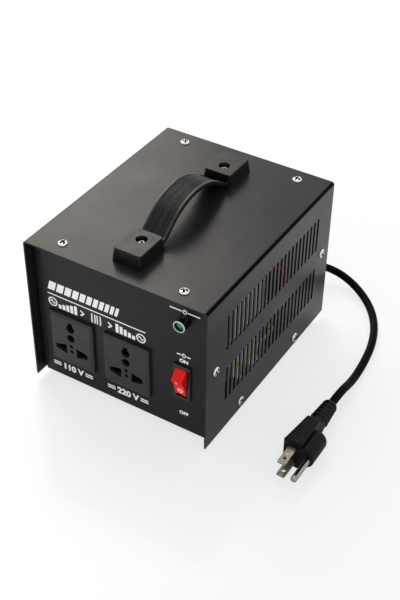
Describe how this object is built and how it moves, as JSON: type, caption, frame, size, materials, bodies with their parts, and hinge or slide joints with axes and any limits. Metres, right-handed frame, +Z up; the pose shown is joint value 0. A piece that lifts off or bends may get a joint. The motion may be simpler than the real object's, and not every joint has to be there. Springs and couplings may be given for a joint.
{
  "type": "travel voltage converter",
  "caption": "Black steel-cased voltage converter with universal outlets, a red rocker switch, a pilot lamp, a strap handle and a three-pin power lead.",
  "frame": {"origin": "on the table under the middle of the box, without the lead", "axes": "+Z up, -Y towards the front with the outlets, +X towards the switch and the side of the plug"},
  "size_m": [0.227, 0.2331, 0.1538],
  "materials": {
    "black_paint": "satin",
    "panel_paint": "satin",
    "nickel_screws": "semi-bright",
    "dark_screws": "satin",
    "strap_vinyl": "satin",
    "cap_plastic": "satin",
    "outlet_plastic": "satin",
    "gloss_black": "gloss",
    "red_plastic": "gloss",
    "green_lens": "gloss",
    "chrome": "bright",
    "nickel": "semi-bright",
    "brass": "satin",
    "zinc_steel": "satin",
    "core_steel": "matte",
    "clear_glass": "clear",
    "nylon": "matte",
    "tape": "satin",
    "cord_vinyl": "satin",
    "wire_black": "satin",
    "wire_white": "satin",
    "wire_green": "satin",
    "wire_red": "satin",
    "wire_yellow": "satin",
    "foot_rubber": "matte"
  },
  "bodies": {
    "root": {"cover": "black_paint", "chassis": "panel_paint", "cover_top_screws": "nickel_screws", "cover_side_screws": "nickel_screws", "handle_strap": "strap_vinyl", "handle_cap_front": "cap_plastic", "handle_cap_rear": "cap_plastic", "handle_screws": "nickel_screws", "handle_nuts": "zinc_steel", "outlet_face_left": "outlet_plastic", "outlet_face_right": "outlet_plastic", "outlet_body_left": "outlet_plastic", "outlet_body_right": "outlet_plastic", "outlet_contacts_left": "brass", "outlet_contacts_right": "brass", "outlet_screws": "dark_screws", "lamp_housing": "gloss_black", "lamp_rim": "chrome", "lamp_lens": "green_lens", "lamp_nut": "zinc_steel", "lamp_pins": "brass", "switch_frame": "gloss_black", "switch_tabs": "brass", "fuse_holder": "gloss_black", "fuse_holder_nut": "gloss_black", "fuse_holder_tabs": "brass", "selector_body": "gloss_black", "selector_screws": "nickel_screws", "selector_tabs": "brass", "cord_gland": "cord_vinyl", "power_cord": "cord_vinyl", "plug_body": "cord_vinyl", "plug_blades": "nickel", "plug_ground_pin": "nickel", "transformer_core": "core_steel", "transformer_bracket": "zinc_steel", "bracket_bolts": "zinc_steel", "bracket_nuts": "zinc_steel", "coil_bobbin": "nylon", "coil_winding": "tape", "thermal_cutout": "nylon", "terminal_block": "nylon", "terminal_screws": "zinc_steel", "wires_black": "wire_black", "wires_white": "wire_white", "wires_green": "wire_green", "wires_red": "wire_red", "wires_yellow": "wire_yellow", "earth_stud": "zinc_steel", "rubber_feet": "foot_rubber", "feet_screws": "zinc_steel"},
    "rocker": {"switch_rocker": "red_plastic"},
    "selector_slider": {"selector_slider": "red_plastic"},
    "fuse": {"fuse_glass": "clear_glass", "fuse_ferrules": "nickel"},
    "fuse_cap": {"fuse_cap": "gloss_black"}
  },
  "joints": [
    {"name": "rocker_tip", "type": "hinge", "parent": "root", "child": "rocker", "pos_m": [0.0515, -0.0845, 0.0529], "axis": [-1, 0, 0], "range_deg": [0, 40]},
    {"name": "selector_slide", "type": "slide", "parent": "root", "child": "selector_slider", "axis": [1, 0, 0], "range_m": [0, 0.0056]},
    {"name": "fuse_slide", "type": "slide", "parent": "root", "child": "fuse", "axis": [0, 1, 0], "range_m": [0, 0.024]},
    {"name": "fuse_cap_turn", "type": "hinge", "parent": "fuse", "child": "fuse_cap", "pos_m": [-0.046, 0.09, 0.038], "axis": [0, 1, 0], "range_deg": [0, 60]}
  ]
}
